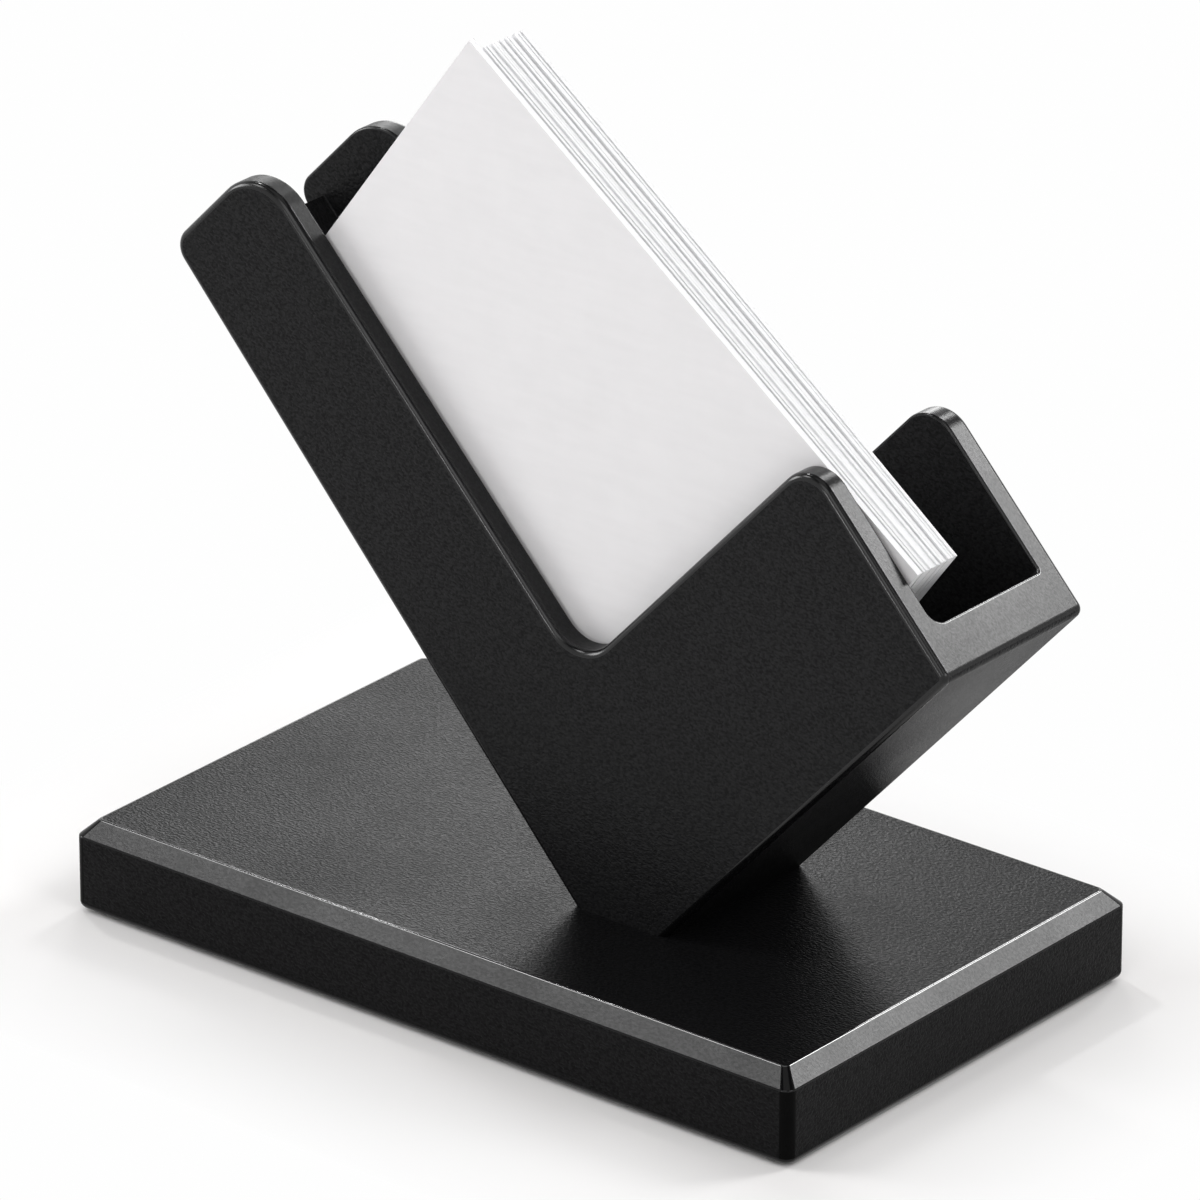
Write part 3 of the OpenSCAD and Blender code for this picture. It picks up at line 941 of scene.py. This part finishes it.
def add_camera():
    """The camera at the photograph's viewing angle."""
    data = bpy.data.cameras.new("camera")
    data.lens = CAMERA_LENS
    data.sensor_width = SENSOR_WIDTH
    camera = bpy.data.objects.new("camera", data)
    bpy.context.scene.collection.objects.link(camera)
    side = math.radians(CAMERA_AZIMUTH)
    rise = math.radians(CAMERA_ELEVATION)
    back = Vector((math.sin(side) * math.cos(rise), -math.cos(side) * math.cos(rise), math.sin(rise)))
    camera.location = CAMERA_TARGET + back * CAMERA_DISTANCE
    camera.rotation_euler = (-back).to_track_quat("-Z", "Y").to_euler()
    bpy.context.scene.camera = camera


def add_lamp(name, direction, distance, size, power):
    """A square soft lamp that shines at the object from a direction."""
    data = bpy.data.lights.new(name, "AREA")
    data.size = size
    data.energy = power
    lamp = bpy.data.objects.new(name, data)
    bpy.context.scene.collection.objects.link(lamp)
    towards = Vector(direction).normalized()
    lamp.location = CAMERA_TARGET + towards * distance
    lamp.rotation_euler = (-towards).to_track_quat("-Z", "Y").to_euler()
    lamp.visible_camera = False


def seen_directly(nodes, link):
    """A socket that is 1 for camera, glossy and transmission rays, and 0 for the rest."""
    path = nodes.new("ShaderNodeLightPath")
    seen = path.outputs["Is Camera Ray"]
    for ray in ["Is Glossy Ray", "Is Transmission Ray"]:
        either = nodes.new("ShaderNodeMath")
        either.operation = "MAXIMUM"
        link(seen, either.inputs[0])
        link(path.outputs[ray], either.inputs[1])
        seen = either.outputs[0]
    return seen


def add_world():
    """A white surround, which lights the object at a lower level than it shows."""
    world = bpy.data.worlds.new("white_surround")
    world.use_nodes = True
    bpy.context.scene.world = world
    nodes = world.node_tree.nodes
    link = world.node_tree.links.new
    fill = nodes["Background"]
    fill.inputs["Color"].default_value = (1, 1, 1, 1)
    fill.inputs["Strength"].default_value = WORLD_FILL
    seen = nodes.new("ShaderNodeBackground")
    seen.inputs["Strength"].default_value = 1
    direction = nodes.new("ShaderNodeSeparateXYZ")
    link(nodes.new("ShaderNodeTexCoord").outputs["Generated"], direction.inputs["Vector"])
    ramp = nodes.new("ShaderNodeValToRGB")
    for height, _ in SURROUND[2:]:
        ramp.color_ramp.elements.new(height)
    for element, (height, level) in zip(ramp.color_ramp.elements, SURROUND):
        element.position = height
        element.color = (level, level, level, 1)
    link(direction.outputs["Z"], ramp.inputs["Fac"])
    link(ramp.outputs["Color"], seen.inputs["Color"])
    mix = nodes.new("ShaderNodeMixShader")
    link(seen_directly(nodes, link), mix.inputs["Fac"])
    link(fill.outputs["Background"], mix.inputs[1])
    link(seen.outputs["Background"], mix.inputs[2])
    link(mix.outputs["Shader"], nodes["World Output"].inputs["Surface"])


def outside_base(finish):
    """A socket that goes from 0 beside the base's rectangle to 1 where the floor's painted shade has faded
    out.
    """
    across = finish.nodes.new("ShaderNodeSeparateXYZ")
    finish.link(finish.place, across.inputs["Vector"])
    past = []
    for axis, reach in (("X", BASE_HIGH.x), ("Y", BASE_HIGH.y)):
        distance = finish.combined("ABSOLUTE", across.outputs[axis])
        past.append(finish.combined("SUBTRACT", distance, reach))
    return finish.ranged(finish.combined("MAXIMUM", *past), SHADOW_START, SHADOW_END, 0, 1)


def floor_material():
    """A floor that looks white and throws back a little less light than that.

    Beside the base its seen colour is greyer, a painted shade round the base. Away from the object it glows
    plain white, which wipes out the shadow there, so the shadow ends softly."""
    finish = Finish("white_floor")
    seen = seen_directly(finish.nodes, finish.link)
    # The greyer colour seen beside the base is painted shade; it fades into the white glow below
    finish.feed("Base Color", finish.colours(seen, FLOOR_BOUNCE, FLOOR_SEEN_PAINTED_SHADE))
    finish.fix("Roughness", 1)
    finish.fix("Specular IOR Level", 0)
    white = finish.nodes.new("ShaderNodeEmission")
    white.inputs["Color"].default_value = (*FLOOR_OPEN, 1)
    mix = finish.nodes.new("ShaderNodeMixShader")
    finish.link(finish.combined("MULTIPLY", outside_base(finish), seen), mix.inputs["Fac"])
    finish.link(finish.shader.outputs["BSDF"], mix.inputs[1])
    finish.link(white.outputs["Emission"], mix.inputs[2])
    finish.link(mix.outputs["Shader"], finish.nodes["Material Output"].inputs["Surface"])
    return finish.material


def add_floor():
    """The floor at desk level."""
    bm = bmesh.new()
    bmesh.ops.create_grid(bm, x_segments=1, y_segments=1, size=FLOOR_SIZE / 2)
    make_object(bm, "floor", [floor_material()])


def place(piece, body, node):
    """Puts a finished piece on its body, in the place of its CAD node."""
    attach(piece, body)
    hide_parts(node)


def add_plastic_pieces():
    """The base shell and the pocket: grained faces, satin chamfers and rims, and worn edges."""
    finishes = {name: moulded_plastic(name, **values) for name, values in GRAINED.items()}
    finishes.update({name: worn_edges(name, **values) for name, values in WORN.items()})
    base = build_base([finishes[name] for name in BASE_FINISHES])
    place(base, "stand", "base_shell")
    pocket = build_pocket([finishes[name] for name in POCKET_FINISHES])
    place(pocket, "stand", "card_pocket")


def add_cards():
    """The front card and the deck behind it."""
    edge = paper("card_edges", CARD_EDGE_WHITE)
    stock = paper("front_card_stock", FRONT_CARD_WHITE)
    card = build_card("front_card", FRONT_CARD_L, FRONT_CARD_T, 0, 0, [stock, edge])
    place(card, "front_card", "front_card")
    stock = paper("deck_card_stock", DECK_WHITE)
    for i, bow in enumerate(deck_bows()):
        node = f"deck_card_{i + 1:02d}"
        fan = DECK_FAN * (i + 1) / DECK_COUNT
        place(build_card(node, CARD_L, CARD_T, fan, bow, [stock, edge]), "card_deck", node)


def dress_hidden_nodes():
    """The plate, pad, screws and inserts stay as they are in the frame, with finishes of their own."""
    plate_steel = brushed_metal("plate_steel", PLATE_STEEL, PLATE_ROUGHNESS, BRUSHED_ALONG)
    screw_steel = brushed_metal("screw_steel", SCREW_STEEL, SCREW_ROUGHNESS, TURNED_ROUND)
    insert_brass = brushed_metal("insert_brass", INSERT_BRASS, INSERT_ROUGHNESS, TURNED_ROUND)
    dress_cad_node("weight_plate", plate_steel, PLATE_EDGE)
    dress_cad_node("anti_slip_pad", rubber("pad_rubber", RUBBER_BLACK, RUBBER_GREY), PAD_EDGE)
    dress_cad_node("plate_screws", screw_steel, METAL_EDGE)
    dress_cad_node("pocket_screws", screw_steel, METAL_EDGE)
    dress_cad_node("pocket_inserts", insert_brass, METAL_EDGE)


def main():
    """Builds the whole scene."""
    bpy.context.scene.view_settings.view_transform = "Standard"
    add_camera()
    add_world()
    add_floor()
    for name, values in LAMPS.items():
        add_lamp(name, **values)
    add_plastic_pieces()
    add_cards()
    dress_hidden_nodes()


main()
